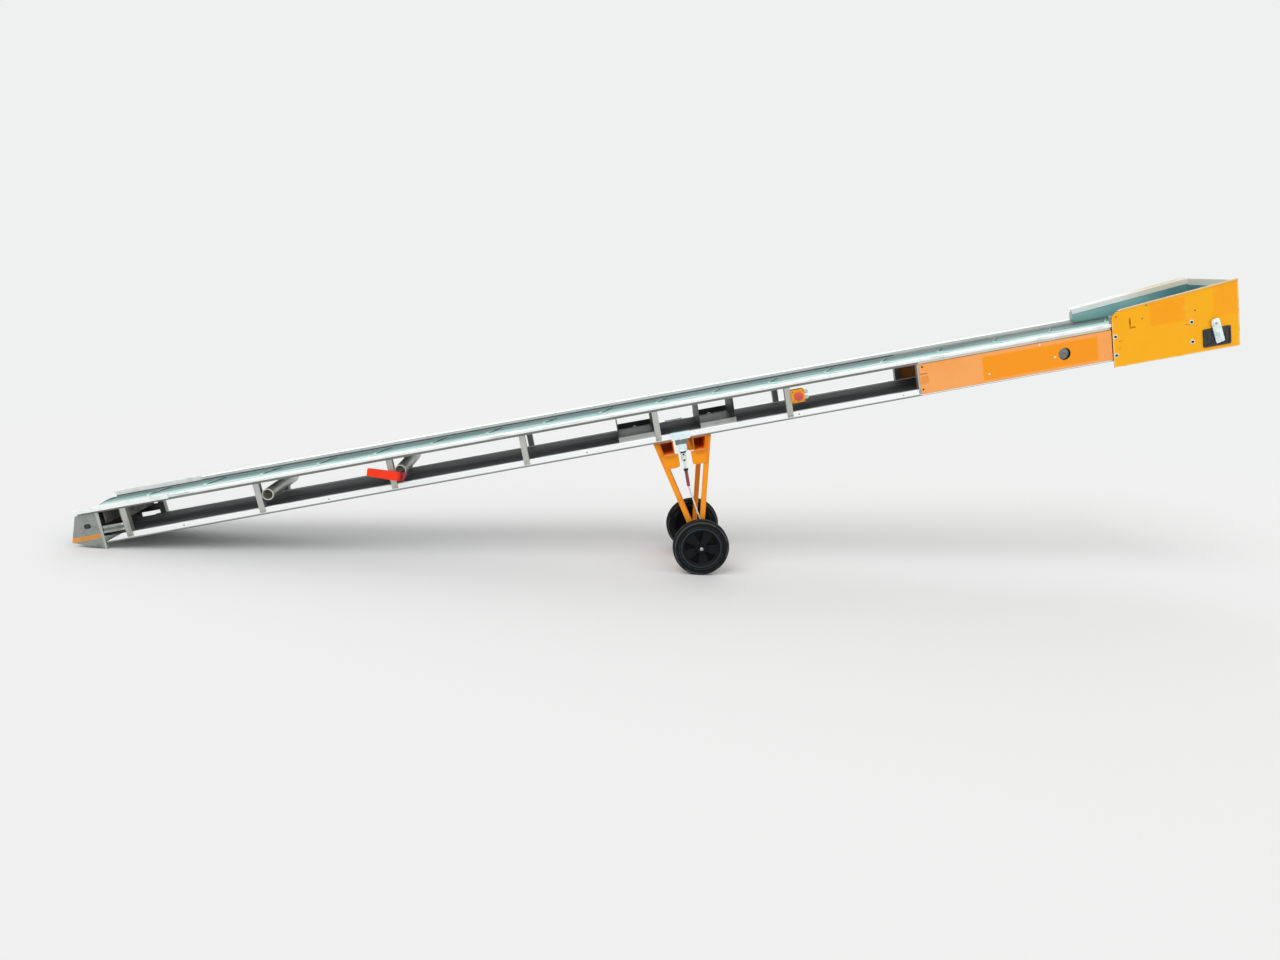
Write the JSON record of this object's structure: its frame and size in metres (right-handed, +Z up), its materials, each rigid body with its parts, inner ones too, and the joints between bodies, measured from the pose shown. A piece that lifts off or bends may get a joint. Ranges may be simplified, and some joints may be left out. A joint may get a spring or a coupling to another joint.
{
  "type": "mobile belt conveyor",
  "caption": "Inclined belt conveyor on an aluminium ladder frame with cleated belt, feed hopper and a clamped-on two-wheeled undercarriage.",
  "frame": {"origin": "on the ground, in the middle of the conveyor's length and width", "axes": "+X along the ground to the raised feed end, +Y to the side away from the stop switch, +Z up"},
  "size_m": [5.9232, 0.5606, 1.6748],
  "materials": {
    "aluminium_profile": "satin",
    "aluminium_sheet": "satin",
    "discharge_plate": "satin",
    "white_cap": "matte",
    "belt": "matte",
    "orange_sheet": "satin",
    "orange_paint": "satin",
    "hopper_liner": "satin",
    "zinc": "satin",
    "steel": "satin",
    "drum": "matte",
    "black_plastic": "matte",
    "tyre": "matte",
    "red_plastic": "gloss",
    "yellow_plastic": "satin",
    "grey_plastic": "matte"
  },
  "bodies": {
    "conveyor": {"axle": "zinc", "axle_beam": "orange_paint", "axle_nuts": "zinc", "axle_spacers": "zinc", "belt": "belt", "cable_glands": "grey_plastic", "carrying_tubes": "aluminium_sheet", "chord_far": "aluminium_profile", "chord_near": "aluminium_profile", "clamp_grip": "red_plastic", "clamp_saddles": "zinc", "cross_beams": "orange_paint", "cross_channel": "aluminium_sheet", "discharge_bearing_blocks": "black_plastic", "discharge_drum": "drum", "discharge_plate_far": "discharge_plate", "discharge_plate_near": "discharge_plate", "discharge_straps": "zinc", "edge_cap_far": "white_cap", "edge_cap_near": "white_cap", "feed_bearing_blocks": "black_plastic", "feed_drum": "drum", "guide_far": "aluminium_profile", "guide_near": "aluminium_profile", "hand_lever": "red_plastic", "hopper_back": "orange_sheet", "hopper_liner_far": "hopper_liner", "hopper_liner_near": "hopper_liner", "hopper_side_far": "orange_sheet", "hopper_side_near": "orange_sheet", "leg_frame_far": "orange_paint", "leg_frame_near": "orange_paint", "posts_far": "aluminium_profile", "posts_near": "aluminium_profile", "release_rod": "zinc", "return_rollers": "grey_plastic", "side_cover_far": "orange_sheet", "side_cover_near": "orange_sheet", "slide_bed": "aluminium_sheet", "stiffening_trays": "aluminium_sheet", "stop_button": "red_plastic", "stop_switch_box": "yellow_plastic", "tensioner_bars": "zinc", "tensioner_plates": "black_plastic", "toggle_clamp": "zinc"},
    "wheel_near": {"tyre_near": "tyre", "hub_near": "black_plastic"},
    "wheel_far": {"tyre_far": "tyre", "hub_far": "black_plastic"}
  },
  "joints": [
    {"name": "wheel_near_spin", "type": "hinge", "parent": "conveyor", "child": "wheel_near", "pos_m": [0.25483, -0.236, 0.1475], "axis": [0, 1, 0], "continuous": true},
    {"name": "wheel_far_spin", "type": "hinge", "parent": "conveyor", "child": "wheel_far", "pos_m": [0.25483, 0.236, 0.1475], "axis": [0, 1, 0], "continuous": true}
  ]
}
